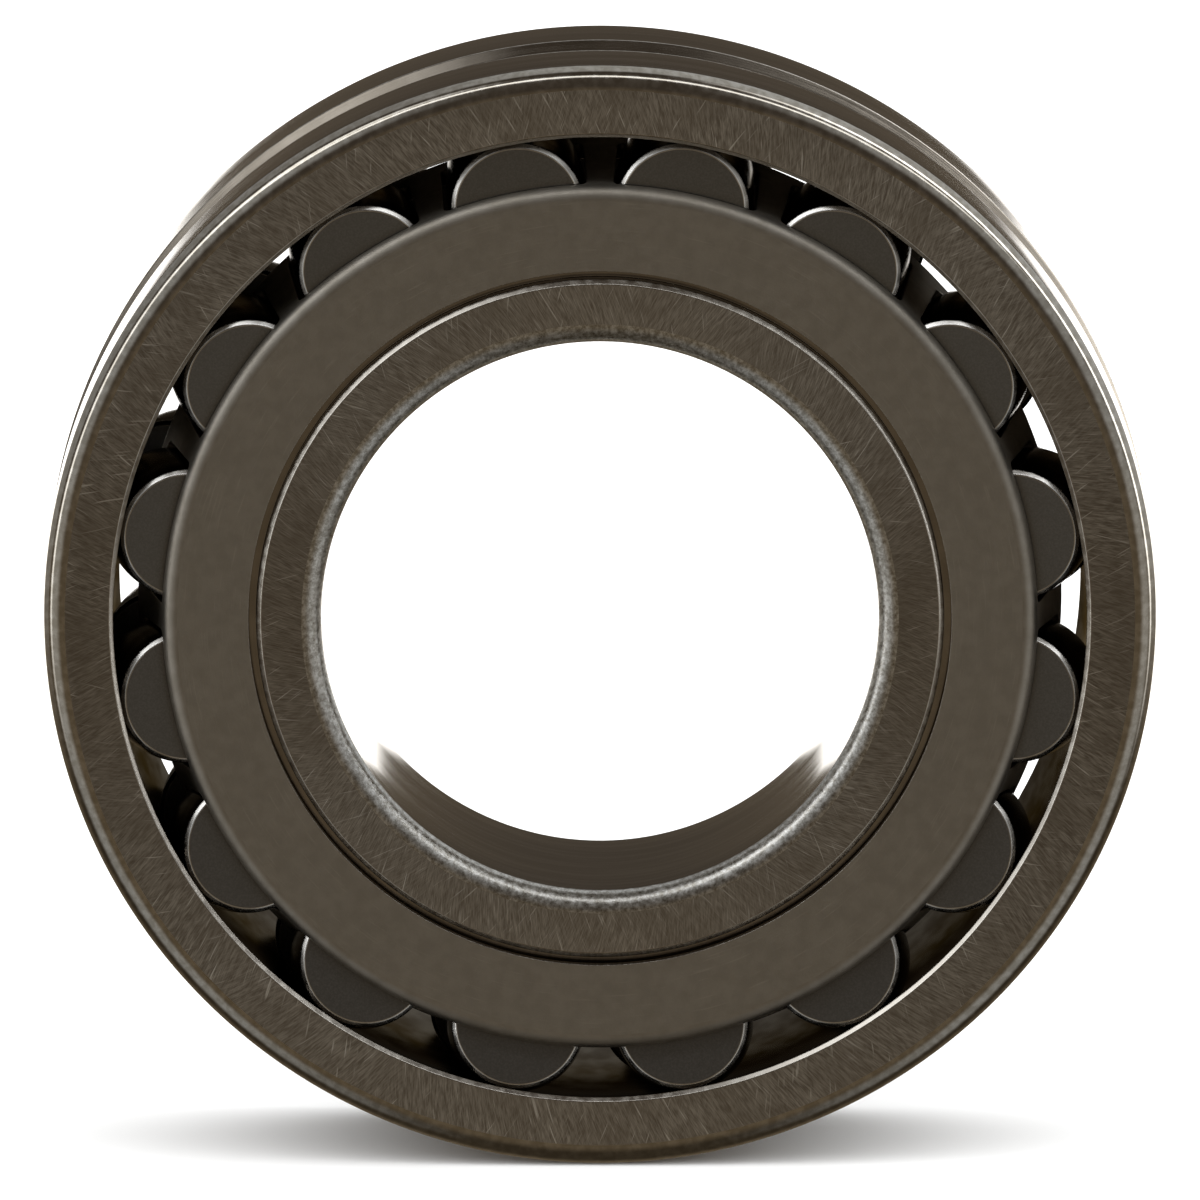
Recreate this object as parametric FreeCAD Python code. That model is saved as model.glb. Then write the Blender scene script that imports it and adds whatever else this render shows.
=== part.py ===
"""Double-row spherical roller bearing: 40 mm bore, 80 mm outside diameter, 23 mm wide.

Frame: the bearing's axis is Y and its middle is the origin. The front row is on the -Y side.
The bearing stands on its rim with +Z up. Clock angles count from +Z towards +X, so they run
clockwise for someone who looks along +Y at the front face. Every length is in millimetres.
"""
import FreeCAD
import Part
from math import asin, atan2, cos, hypot, radians, sin, sqrt, tan
import os

Vector = FreeCAD.Vector
AXIS = Vector(0, 1, 0)
ORIGIN = Vector(0, 0, 0)

# Boundary dimensions
bore_d = 40.0
outside_d = 80.0
width = 23.0

# Outer ring
sphere_r = 36.7             # raceway: one sphere about the origin, so that the bearing aligns itself
outer_edge_round = 1.58     # rounding between the outside diameter and each face
raceway_edge_break = 0.3    # chamfer between the raceway and each face
groove_width = 5.5          # lubrication groove round the outside, at its mouth
groove_depth = 0.7          # its walls slope at 45 degrees
oil_hole_d = 3.0
oil_hole_count = 3
oil_hole_clock = 48.5       # clock angle of the first hole

# Rollers
rollers_per_row = 16
roller_d = 10.0             # largest diameter of the barrel
roller_length = 8.8
roller_profile_r = 36.0     # radius of the barrel's side, a little less than the raceways'
roller_end_break = 0.3
front_row_clock = 11.25     # clock angle of the first roller in each row
rear_row_clock = 13.75

# Inner ring
inner_raceway_r = 36.7
inner_shoulder_d = 49.4
inner_shoulder_length = 1.6    # cylinder between each face and the raceway's outboard end
guide_land_height = 0.47       # land between the raceways, above where a roller meets the raceway
bore_edge_round = 1.45
inner_edge_break = 0.35

# Guide ring
guide_bore_thickness = 0.88    # where it turns on the land; it widens outwards with the rollers' ends

# Cages, pressed from sheet
sheet = 0.9
cage_offset = 1.2           # outer side of the conical wall, measured outwards from the rollers' axes
inside_bend_r = 0.2         # inside of the bend between flange and wall
window_corner_r = 0.6
cage_spacing = 0.4          # gap between the inboard rims of the two cages

# Running clearances
raceway_clearance = 0.06    # between a roller and each raceway
window_side_clearance = 0.2
window_end_clearance = 0.12
guide_end_clearance = 0.16  # between a roller's inboard end and the guide ring
guide_bore_clearance = 0.1
guide_rim_clearance = 0.25  # between the guide ring's rim and the cages
flange_end_clearance = 0.13      # between the rollers' outboard ends and the cage's flange
flange_bore_clearance = 0.55     # between the flange and the inner ring that it surrounds

# Worked out
half_width = width / 2
half_length = roller_length / 2
pitch_distance = sphere_r - raceway_clearance - roller_d / 2    # from the origin to a roller's centre
inner_contact = pitch_distance - roller_d / 2 - raceway_clearance
guide_land_r = inner_contact + guide_land_height
guide_bore_r = guide_land_r + guide_bore_clearance
# The contact angle puts the rollers' inboard ends against the guide ring's sides. A roller's centre
# lies on its load line through the origin, so its end faces are half_length from the origin's normal.
slope = (asin((half_length + guide_end_clearance) / hypot(guide_bore_r, guide_bore_thickness / 2))
         + atan2(guide_bore_thickness / 2, guide_bore_r))
pitch_r = pitch_distance * cos(slope)
row_offset = pitch_distance * sin(slope)


def outline(start, *steps):
    """Closed wire in the half plane (radius, axial). A step is the next corner, or a pair of a point
    to pass through and the corner where that arc ends. The last step comes back to the start."""
    edges = []
    here = Vector(*start)
    for step in steps:
        if isinstance(step[0], tuple):
            through, there = Vector(*step[0]), Vector(*step[1])
            edges.append(Part.Arc(here, through, there).toShape())
        else:
            there = Vector(*step)
            edges.append(Part.LineSegment(here, there).toShape())
        here = there
    return Part.Wire(edges)


def turned(start, *steps):
    """Solid of revolution about the bearing's axis, from an outline in (radius, axial)."""
    return Part.Face(outline(start, *steps)).revolve(ORIGIN, AXIS, 360)


def mirrored(points):
    """The same points on the other side of the middle plane, in reverse order."""
    return [(radius, -axial) for radius, axial in reversed(points)]


def rounding(corner_r, corner_y, radius):
    """Through point and end point of a quarter rounding, from the face inwards along the cylinder."""
    middle = radius * (1 - cos(radians(45)))
    return (corner_r - middle, corner_y - middle), (corner_r, corner_y - radius)


def outer_ring():
    outer_r = outside_d / 2
    race_y = half_width - raceway_edge_break
    race_r = sqrt(sphere_r**2 - race_y**2)
    face_r = race_r + raceway_edge_break
    flat_r = outer_r - outer_edge_round
    side_through, side_end = rounding(outer_r, half_width, outer_edge_round)
    groove = [(outer_r, groove_width / 2), (outer_r - groove_depth, groove_width / 2 - groove_depth)]
    far_through = (side_through[0], -side_through[1])
    ring = turned(
        (race_r, race_y), (face_r, half_width), (flat_r, half_width), (side_through, side_end),
        *groove, *mirrored(groove), (outer_r, -side_end[1]), (far_through, (flat_r, -half_width)),
        (face_r, -half_width), (race_r, -race_y), ((sphere_r, 0), (race_r, race_y)))
    for index in range(oil_hole_count):
        clock = oil_hole_clock + index * 360 / oil_hole_count
        drill = Part.makeCylinder(oil_hole_d / 2, outer_r, ORIGIN, radial(clock))
        ring = ring.cut(drill)
    return ring


def radial(clock):
    """Unit vector from the axis towards a clock angle."""
    return Vector(sin(radians(clock)), 0, cos(radians(clock)))


def inner_race_radius(axial):
    """Radius of the inner raceway at a distance from the middle. Its arc is centred on the load line."""
    arc_distance = inner_contact + inner_raceway_r
    arc_y = arc_distance * sin(slope)
    return arc_distance * cos(slope) - sqrt(inner_raceway_r**2 - (axial - arc_y)**2)


def inner_race_axial(radius):
    """Distance from the middle where the inner raceway comes up to a radius, near the guide land."""
    arc_distance = inner_contact + inner_raceway_r
    arc_y = arc_distance * sin(slope)
    return arc_y - sqrt(inner_raceway_r**2 - (arc_distance * cos(slope) - radius)**2)


def inner_ring_radius(axial):
    """Outer radius of the inner ring at a distance from the middle, outboard of the guide land."""
    if axial > half_width - inner_shoulder_length:
        return inner_shoulder_d / 2
    return inner_race_radius(axial)


def inner_ring():
    bore_r = bore_d / 2
    shoulder_r = inner_shoulder_d / 2
    land = (guide_land_r, inner_race_axial(guide_land_r))
    shoulder_y = half_width - inner_shoulder_length
    race_end = (inner_race_radius(shoulder_y), shoulder_y)
    race_through = (inner_race_radius(row_offset), row_offset)
    corner = bore_edge_round * (1 - cos(radians(45)))
    bore_y = half_width - bore_edge_round
    side = [(shoulder_r - inner_edge_break, half_width), (shoulder_r, half_width - inner_edge_break),
            (shoulder_r, shoulder_y), race_end]
    return turned(
        (bore_r, -bore_y), (bore_r, bore_y),
        ((bore_r + corner, half_width - corner), (bore_r + bore_edge_round, half_width)),
        *side, (race_through, land), (guide_land_r, -land[1]),
        ((race_through[0], -race_through[1]), (race_end[0], -race_end[1])),
        *mirrored(side[:-1]), (bore_r + bore_edge_round, -half_width),
        ((bore_r + corner, corner - half_width), (bore_r, -bore_y)))


def barrel():
    """One roller about the Y axis, centred on the origin, with its outboard end towards +Y."""
    shoulder_y = half_length - roller_end_break
    crown = roller_profile_r - sqrt(roller_profile_r**2 - shoulder_y**2)
    edge_r = roller_d / 2 - crown
    face_r = edge_r - roller_end_break
    return turned(
        (0, -half_length), (face_r, -half_length), (edge_r, -shoulder_y),
        ((roller_d / 2, 0), (edge_r, shoulder_y)), (face_r, half_length), (0, half_length),
        (0, -half_length))


def row_placement(clock, side):
    """Place of a roller or a window: side is -1 in the front row and 1 in the rear row.
    Local Y runs along the roller's axis to its outboard end and local Z outwards on the load line."""
    outwards = radial(clock)
    along = AXIS * (side * cos(slope)) - outwards * sin(slope)
    upwards = AXIS * (side * sin(slope)) + outwards * cos(slope)
    turn = FreeCAD.Rotation(along.cross(upwards), along, upwards, "YZX")
    centre = outwards * pitch_r + AXIS * (side * row_offset)
    return FreeCAD.Placement(centre, turn)


def placed(shape, placement):
    copy = shape.copy()
    copy.Placement = placement
    return copy


def cage_wall_radius(axial, depth=0.0):
    """Radius of the cage's conical wall at a distance from the middle, depth below its outer side."""
    return pitch_r + (row_offset - axial) * tan(slope) + (cage_offset - depth) / cos(slope)


def cage_ring():
    """The pressed sheet before its windows: flange, bend and a wall parallel to the rollers' axes."""
    bend_r = inside_bend_r + sheet
    end_y = row_offset + half_length * cos(slope) + cage_offset * sin(slope)
    flange_y = end_y + flange_end_clearance + sheet
    flange_r = inner_ring_radius(flange_y - sheet) + flange_bore_clearance
    bend_y = flange_y - bend_r
    bend_x = cage_wall_radius(bend_y, bend_r)
    rim_y = cage_spacing / 2
    middle = (radians(90) + slope) / 2

    def on_bend(radius, angle):
        return (bend_x + radius * cos(angle), bend_y + radius * sin(angle))

    corner = (flange_r, flange_y - sheet)
    return turned(
        corner, (flange_r, flange_y), (bend_x, flange_y),
        (on_bend(bend_r, middle), on_bend(bend_r, slope)),
        (cage_wall_radius(rim_y), rim_y), (cage_wall_radius(rim_y, sheet), rim_y),
        on_bend(inside_bend_r, slope), (on_bend(inside_bend_r, middle), (bend_x, flange_y - sheet)),
        corner)


def window():
    """Cutter for one window, about a roller at the origin: straight walls with rounded corners."""
    wide = roller_d + 2 * window_side_clearance
    long = roller_length + 2 * window_end_clearance
    tall = 3 * cage_offset
    block = Part.makeBox(wide, long, tall, Vector(-wide / 2, -long / 2, -cage_offset / 2))
    upright = [edge for edge in block.Edges if abs(edge.tangentAt(edge.FirstParameter).z) > 0.9]
    return block.makeFillet(window_corner_r, upright)


def cage(first_clock, side):
    """A whole cage. The sheet is turned on the +Y side and mirrored for the front row."""
    ring = cage_ring()
    if side < 0:
        ring = ring.mirror(ORIGIN, AXIS)
    for clock in row_clocks(first_clock):
        ring = ring.cut(placed(window(), row_placement(clock, side)))
    return ring


def row_clocks(first_clock):
    return [first_clock + index * 360 / rollers_per_row for index in range(rollers_per_row)]


def guide_half_thickness(radius):
    """Half the guide ring's thickness, which follows the rollers' inboard ends."""
    return radius * tan(slope) - (half_length + guide_end_clearance) / cos(slope)


def guide_ring():
    rim_r = cage_wall_radius(guide_half_thickness(pitch_r), sheet) - guide_rim_clearance
    section = [(guide_bore_r, guide_bore_thickness / 2), (rim_r, guide_half_thickness(rim_r))]
    return turned(*section, *mirrored(section), section[0])


def export(shape, name):
    shape.exportStep("parts/" + name + ".step")


def export_row(name, first_clock, side):
    export(cage(first_clock, side), name + "_cage")
    for index, clock in enumerate(row_clocks(first_clock), start=1):
        export(placed(barrel(), row_placement(clock, side)), f"{name}_roller_{index:02d}")


os.makedirs("parts", exist_ok=True)
export(outer_ring(), "outer_ring")
export(inner_ring(), "inner_ring")
export(guide_ring(), "guide_ring")
export_row("front", front_row_clock, -1)
export_row("rear", rear_row_clock, 1)
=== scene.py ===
"""Spherical roller bearing standing on its rim in a pale studio.

Every visible piece is a surface worked out with numpy from the bearing's own sizes. The bearing's
axis is Y, its middle is the origin, and the front row of rollers is on the -Y side. Profiles are
drawn in the half plane (radius, axial) in millimetres and turned about Y. Clock angles count from
+Z towards +X.
"""
import bmesh
import bpy
import numpy as np
from math import asin, atan2, cos, degrees, e, hypot, pi, radians, sin, sqrt, tan
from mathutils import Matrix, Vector


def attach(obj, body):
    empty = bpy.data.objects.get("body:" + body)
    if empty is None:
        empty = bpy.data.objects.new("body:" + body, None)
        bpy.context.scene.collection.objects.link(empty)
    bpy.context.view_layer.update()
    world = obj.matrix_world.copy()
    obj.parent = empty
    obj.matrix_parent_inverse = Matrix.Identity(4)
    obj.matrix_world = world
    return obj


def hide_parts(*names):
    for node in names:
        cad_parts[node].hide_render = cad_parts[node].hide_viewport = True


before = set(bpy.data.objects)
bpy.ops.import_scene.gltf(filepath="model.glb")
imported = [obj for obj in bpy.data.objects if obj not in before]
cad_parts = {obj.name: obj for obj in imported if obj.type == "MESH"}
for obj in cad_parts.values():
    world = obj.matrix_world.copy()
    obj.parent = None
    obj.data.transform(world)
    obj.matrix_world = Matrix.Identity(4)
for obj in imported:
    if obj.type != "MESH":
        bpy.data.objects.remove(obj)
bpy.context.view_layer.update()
MM = 0.001

# ------------------------------ sizes, in millimetres
outer_r = 40.0
bore_r = 20.0
half_width = 11.5

sphere_r = 36.7
outer_edge_round = 1.58
raceway_edge_break = 0.3
groove_width = 5.5
groove_depth = 0.7
oil_hole_r = 1.5
oil_hole_clocks = (48.5, 168.5, 288.5)

rollers_per_row = 16
roller_r = 5.0
half_length = 4.4
roller_profile_r = 36.0
roller_end_break = 0.3
raceway_clearance = 0.06
first_clock = {"front": 11.25, "rear": 13.75}
row_side = {"front": -1, "rear": 1}

inner_raceway_r = 36.7
inner_shoulder_r = 24.7
inner_shoulder_length = 1.6
guide_land_height = 0.47
bore_edge_round = 1.45
inner_edge_break = 0.35

guide_bore_thickness = 0.88
guide_bore_clearance = 0.1
guide_end_clearance = 0.16
guide_rim_clearance = 0.25

sheet = 0.9
cage_offset = 1.2
inside_bend_r = 0.2
window_corner_r = 0.6
cage_spacing = 0.4
window_side_clearance = 0.2
window_end_clearance = 0.12
flange_end_clearance = 0.13
flange_bore_clearance = 0.55

# ------------------------------ worked out from those sizes
pitch_distance = sphere_r - raceway_clearance - roller_r
inner_contact = pitch_distance - roller_r - raceway_clearance
guide_land_r = inner_contact + guide_land_height
guide_bore_r = guide_land_r + guide_bore_clearance
slope = (asin((half_length + guide_end_clearance) / hypot(guide_bore_r, guide_bore_thickness / 2))
         + atan2(guide_bore_thickness / 2, guide_bore_r))
pitch_r = pitch_distance * cos(slope)
row_offset = pitch_distance * sin(slope)
groove_floor_r = outer_r - groove_depth
groove_floor_y = groove_width / 2 - groove_depth
bend_r = inside_bend_r + sheet
flange_y = (row_offset + half_length * cos(slope) + cage_offset * sin(slope)
            + flange_end_clearance + sheet)
flange_r = inner_shoulder_r + flange_bore_clearance
bend_y = flange_y - bend_r
bend_centre_r = pitch_r + (row_offset - bend_y) * tan(slope) + (cage_offset - bend_r) / cos(slope)

# ------------------------------ fineness of the surfaces
OUTER_COLUMNS = 660
INNER_COLUMNS = 480
ROLLER_COLUMNS = 96
EDGE_EASE = 0.05            # how far from a corner its easing starts, in millimetres
EASE_POINTS = 5
SMOOTH_BELOW = 12           # degrees: two runs that meet at less than this need no easing
SHARP_FROM = 50             # degrees between faces, from which an edge is shaded sharp
WELD_PER_MM = 1e4           # points that agree to this many parts of a millimetre are one
TOUCHING = 1e-6
RACE_STEPS = 16
ROUND_STEPS = 14


# ============================== profiles
def line(start, end, steps=1):
    """Points on a straight run, both ends included."""
    share = np.linspace(0, 1, steps + 1)[:, None]
    return np.array(start) * (1 - share) + np.array(end) * share


def arc(centre, radius, first, last, steps):
    """Points at centre + radius * (cos a, sin a) while a runs from first to last, in degrees."""
    angle = np.radians(np.linspace(first, last, steps + 1))
    return np.array(centre) + radius * np.stack([np.cos(angle), np.sin(angle)], axis=1)


def eased(before, corner, after, ease):
    """A corner as points of the quadratic curve (1 - t)^2 start + 2 t (1 - t) corner + t^2 end, with
    a supporting point on each side of it."""
    arriving, leaving = before - corner, after - corner
    start = corner + ease * arriving / np.linalg.norm(arriving)
    end = corner + ease * leaving / np.linalg.norm(leaving)
    share = np.linspace(0, 1, EASE_POINTS)[:, None]
    curve = (1 - share)**2 * start + 2 * share * (1 - share) * corner + share**2 * end
    return np.vstack([2 * start - corner, curve, 2 * end - corner])


def profile(*runs, closed=True, ease=EDGE_EASE):
    """Outline from runs of (finish, points), each starting where the one before it ended. A corner
    between two runs is eased. Gives the points, and the finish of the strip that follows each."""
    points, finishes = [], []
    for index, (finish, run) in enumerate(runs):
        last = index == len(runs) - 1
        start = 1 if index or closed else 0
        points += list(run[start:-1])
        finishes += [finish] * len(run[start:-1])
        if last and not closed:
            points.append(run[-1])
            break
        next_finish, following = runs[0 if last else index + 1]
        arriving, leaving = run[-1] - run[-2], following[1] - following[0]
        turn = np.dot(arriving, leaving) / (np.linalg.norm(arriving) * np.linalg.norm(leaving))
        if turn > cos(radians(SMOOTH_BELOW)):
            points.append(run[-1])
            finishes.append(next_finish)
        else:
            points += list(eased(run[-2], run[-1], following[1], ease))
            finishes += [finish] + ["edge"] * (EASE_POINTS - 1) + [next_finish] * 2
    return np.array(points), finishes


# ============================== meshes
def around(radius, angle, axial):
    """Points at a radius and a clock angle in radians, at a distance along the axis."""
    return np.stack([radius * np.sin(angle), axial + 0 * angle, radius * np.cos(angle)], axis=-1)


def grid_quads(rows, columns, closed_rows):
    """Quads of a grid whose columns close on themselves, and whose rows do if closed_rows."""
    row, column = np.meshgrid(np.arange(rows if closed_rows else rows - 1), np.arange(columns),
                              indexing="ij")
    below, beside = (row + 1) % rows, (column + 1) % columns
    corners = [row * columns + column, row * columns + beside,
               below * columns + beside, below * columns + column]
    return np.stack(corners, axis=-1).reshape(-1, 4)


def turned(outline, columns, closed=True):
    """Surface of revolution: the outline's points (radius, axial) carried round the Y axis."""
    angle = np.arange(columns)[None, :] * 2 * pi / columns
    radius, axial = outline[:, :1], outline[:, 1:]
    points = around(radius, angle, axial).reshape(-1, 3)
    return points, grid_quads(len(outline), columns, closed)


def welded(points, quads):
    """Joins points that agree to a tenth of a micrometre, so that seams and poles are closed, and
    drops the points that no face uses."""
    keys = np.round(points[:, :3] * WELD_PER_MM).astype(np.int64)
    _, first, joined = np.unique(keys, axis=0, return_index=True, return_inverse=True)
    quads = joined.reshape(-1)[quads]
    used, renumbered = np.unique(quads, return_inverse=True)
    return points[first][used], renumbered.reshape(quads.shape)


def add_piece(name, points, quads, face_finishes, finishes):
    """Makes the piece that stands for the node and body of its name, from millimetre points and
    quads: smooth apart from its real edges, with its faces outwards. Columns of points after the
    first three hold each point in the piece's own turning axes, for its grain."""
    points, quads = welded(points, quads)
    distinct = quads != np.roll(quads, 1, axis=1)
    real = distinct.sum(axis=1) >= 3
    faces = [[corner for corner, kept in zip(face, keep) if kept]
             for face, keep in zip(quads[real].tolist(), distinct[real].tolist())]
    mesh = bpy.data.meshes.new(name)
    mesh.from_pydata(points[:, :3] * MM, [], faces)
    shell = bmesh.new()
    shell.from_mesh(mesh)
    bmesh.ops.recalc_face_normals(shell, faces=shell.faces)
    shell.to_mesh(mesh)
    shell.free()
    names, index = np.unique(face_finishes, return_inverse=True)
    for finish in names:
        mesh.materials.append(finishes[finish])
    mesh.polygons.foreach_set("material_index", index[real].astype(np.int32))
    mesh.shade_smooth()
    mesh.set_sharp_from_angle(angle=radians(SHARP_FROM))
    if points.shape[1] > 3:
        stored = mesh.attributes.new("own_axis", "FLOAT_VECTOR", "POINT")
        stored.data.foreach_set("vector", (points[:, 3:] * MM).astype(np.float32).ravel())
    mesh.update()
    piece = bpy.data.objects.new(name + "_finished", mesh)
    bpy.context.scene.collection.objects.link(piece)
    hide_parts(name)
    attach(piece, name)
    return piece


def add_turned_piece(name, outline, strip_finishes, columns, finishes):
    """A piece that is one closed outline turned about the bearing's axis."""
    points, quads = turned(outline, columns)
    add_piece(name, points, quads, np.repeat(strip_finishes, columns), finishes)


# ============================== outer ring
HOLE_RING = 4           # the ring of cells about an oil hole that becomes its mouth
HOLE_EASE = 0.06
HOLE_BEND = 0.3         # where the easing of the hole's mouth is at its middle, as a share of it
CELLS_EACH_WAY = 6      # rows of cells between the middle and the edge of the groove's floor
CELL = groove_floor_y / CELLS_EACH_WAY


def outer_ring_outline():
    """The outer ring's section. The groove's floor and the middle of the raceway have rows a CELL
    apart, because the oil holes open between them."""
    race_y = half_width - raceway_edge_break
    race_r = sqrt(sphere_r**2 - race_y**2)
    face_r = race_r + raceway_edge_break
    flat_r = outer_r - outer_edge_round
    round_y = half_width - outer_edge_round
    mouth = groove_width / 2
    race_angle = degrees(asin(race_y / sphere_r))
    middle_angle = degrees(asin(groove_floor_y / sphere_r))
    rows = np.arange(-CELLS_EACH_WAY, CELLS_EACH_WAY + 1) * CELL
    middle = np.stack([np.sqrt(sphere_r**2 - rows**2), rows], axis=1)
    floor_rows = np.stack([groove_floor_r + 0 * rows, rows], axis=1)[::-1]
    return profile(
        ("raceway", arc((0, 0), sphere_r, middle_angle, race_angle, RACE_STEPS)),
        ("edge", line((race_r, race_y), (face_r, half_width))),
        ("face", line((face_r, half_width), (flat_r, half_width), 2)),
        ("rounding", arc((flat_r, round_y), outer_edge_round, 90, 0, ROUND_STEPS)),
        ("rim", line((outer_r, round_y), (outer_r, mouth), 2)),
        ("groove", line((outer_r, mouth), (groove_floor_r, groove_floor_y))),
        ("groove", floor_rows),
        ("groove", line((groove_floor_r, -groove_floor_y), (outer_r, -mouth))),
        ("rim", line((outer_r, -mouth), (outer_r, -round_y), 2)),
        ("rounding", arc((flat_r, -round_y), outer_edge_round, 0, -90, ROUND_STEPS)),
        ("face", line((flat_r, -half_width), (face_r, -half_width), 2)),
        ("edge", line((face_r, -half_width), (race_r, -race_y))),
        ("raceway", arc((0, 0), sphere_r, -race_angle, -middle_angle, RACE_STEPS)),
        ("raceway", middle))


def ring_of_cells():
    """The cells' corners at HOLE_RING cells from the middle, in order round it, as (across, along)."""
    side = np.arange(-HOLE_RING, HOLE_RING)
    edge = HOLE_RING + 0 * side
    return np.concatenate([np.stack([edge, side], 1), np.stack([-side, edge], 1),
                           np.stack([-edge, -side], 1), np.stack([side, -edge], 1)])


def outer_ring():
    """The turned ring with its oil holes. Round each hole a square of cells is bent to the hole's
    circle: corner number n of the ring of cells goes to radius (cos, sin) of n equal steps. A point
    at (x, y) beside the hole's axis stands at the height where the surface is, so on the groove's
    floor at sqrt(floor radius^2 - x^2) and on the raceway at sqrt(sphere^2 - x^2 - y^2)."""
    outline, strips = outer_ring_outline()
    points, quads = turned(outline, OUTER_COLUMNS)
    finishes = np.repeat(strips, OUTER_COLUMNS)
    cells = ring_of_cells()
    steps = np.arange(len(cells)) * 2 * pi / len(cells) - pi / 4
    circle = np.stack([np.cos(steps), np.sin(steps)], axis=1)
    middle = abs(outline[:, 1]) < TOUCHING
    on_floor = abs(outline[:, 0] - groove_floor_r) < TOUCHING
    on_race = abs(np.hypot(outline[:, 0], outline[:, 1]) - sphere_r) < TOUCHING
    floor_row = np.flatnonzero(on_floor & middle)[0]
    race_row = np.flatnonzero(on_race & middle)[0]
    flare = HOLE_EASE * np.array([1, HOLE_BEND, 0])
    radii = oil_hole_r + np.concatenate([flare, flare[::-1]])[:, None]
    sunk = HOLE_EASE * np.array([0, HOLE_BEND, 1])
    depths = np.concatenate([sunk, -sunk[::-1]])[:, None]
    removed = np.zeros(len(quads), dtype=bool)
    tubes, tube_points, base = [], [], len(points)
    for clock in oil_hole_clocks:
        middle_column = round(clock / 360 * OUTER_COLUMNS)
        turn = radians(clock)
        across, along = radii * circle[None, :, 0], radii * circle[None, :, 1]
        from_floor = np.sqrt(groove_floor_r**2 - across**2)
        from_race = np.sqrt(sphere_r**2 - across**2 - along**2)
        height = np.vstack([from_floor[:3], from_race[3:]]) - depths
        tube = np.stack([across * cos(turn) + height * sin(turn), along,
                         height * cos(turn) - across * sin(turn)], axis=-1)
        for centre_row, way, ring in ((floor_row, -1, tube[0]), (race_row, 1, tube[-1])):
            rows = centre_row + way * cells[:, 1]
            columns = (middle_column + cells[:, 0]) % OUTER_COLUMNS
            points[rows * OUTER_COLUMNS + columns] = ring
            inner = np.arange(-HOLE_RING, HOLE_RING)
            gone_rows, gone_columns = np.meshgrid(centre_row + inner,
                                                  (middle_column + inner) % OUTER_COLUMNS)
            removed[(gone_rows * OUTER_COLUMNS + gone_columns).ravel()] = True
        tube_points.append(tube.reshape(-1, 3))
        tubes.append(grid_quads(len(radii), len(cells), False) + base)
        base += tube.shape[0] * tube.shape[1]
    tube_quads = np.concatenate(tubes)
    quads = np.concatenate([quads[~removed], tube_quads])
    finishes = np.concatenate([finishes[~removed], np.repeat("groove", len(tube_quads))])
    points = np.concatenate([points] + tube_points)
    add_piece("outer_ring", points, quads, finishes, ring_finishes)


# ============================== inner ring and guide ring
INNER_RACE_POINTS = 29
GUIDE_EASE = 0.08


def inner_race_radius(axial):
    """Radius of the inner raceway at a distance from the middle: an arc centred on the load line."""
    distance = inner_contact + inner_raceway_r
    return distance * cos(slope) - np.sqrt(inner_raceway_r**2 - (axial - distance * sin(slope))**2)


def inner_ring():
    """The turned inner ring: half its outline from the bore's rounding to the raceway's inboard end,
    then the land, the same half mirrored, and the bore."""
    distance = inner_contact + inner_raceway_r
    land_y = distance * sin(slope) - sqrt(inner_raceway_r**2
                                          - (distance * cos(slope) - guide_land_r)**2)
    shoulder_y = half_width - inner_shoulder_length
    flat_y, flat_r = half_width - bore_edge_round, bore_r + bore_edge_round
    race = np.linspace(shoulder_y, land_y, INNER_RACE_POINTS)
    raceway = np.stack([inner_race_radius(race), race], axis=1)
    edge_r, edge_y = inner_shoulder_r - inner_edge_break, half_width - inner_edge_break
    flip = np.array([1, -1])
    half = [("bore_rounding", arc((flat_r, flat_y), bore_edge_round, 180, 90, ROUND_STEPS)),
            ("face", line((flat_r, half_width), (edge_r, half_width), 2)),
            ("edge", line((edge_r, half_width), (inner_shoulder_r, edge_y))),
            ("shoulder", line((inner_shoulder_r, edge_y), (inner_shoulder_r, shoulder_y))),
            ("shoulder", line((inner_shoulder_r, shoulder_y), raceway[0])),
            ("raceway", raceway)]
    mirrored = [(finish, run[::-1] * flip) for finish, run in reversed(half)]
    land = ("land", line((guide_land_r, land_y), (guide_land_r, -land_y), 2))
    bore = ("bore", line((bore_r, -flat_y), (bore_r, flat_y), 4))
    outline, strips = profile(*half, land, *mirrored, bore)
    add_turned_piece("inner_ring", outline, strips, INNER_COLUMNS, inner_finishes)


def guide_ring():
    """A loose ring between the rows. Its sides follow the rollers' inboard ends."""
    def half_thickness(radius):
        return radius * tan(slope) - (half_length + guide_end_clearance) / cos(slope)

    wall_r = (pitch_r + (row_offset - half_thickness(pitch_r)) * tan(slope)
              + (cage_offset - sheet) / cos(slope))
    rim_r = wall_r - guide_rim_clearance
    bore_y, rim_y = guide_bore_thickness / 2, half_thickness(rim_r)
    outline, strips = profile(
        ("side", line((guide_bore_r, bore_y), (rim_r, rim_y), 2)),
        ("rim", line((rim_r, rim_y), (rim_r, -rim_y), 2)),
        ("side", line((rim_r, -rim_y), (guide_bore_r, -bore_y), 2)),
        ("rim", line((guide_bore_r, -bore_y), (guide_bore_r, bore_y))), ease=GUIDE_EASE)
    add_turned_piece("guide_ring", outline, strips, INNER_COLUMNS, guide_finishes)


# ============================== rollers
CROWN_POINTS = 31
ROLLER_EASE = 0.07


def roller_frame(clock, side):
    """Where a roller lies: its centre, and unit vectors across, along its axis to the outboard end,
    and outwards on its load line."""
    outwards = np.array([sin(radians(clock)), 0, cos(radians(clock))])
    axis = np.array([0, 1, 0])
    along = axis * (side * cos(slope)) - outwards * sin(slope)
    upwards = axis * (side * sin(slope)) + outwards * cos(slope)
    centre = outwards * pitch_r + axis * (side * row_offset)
    return centre, np.stack([np.cross(along, upwards), along, upwards])


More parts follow.
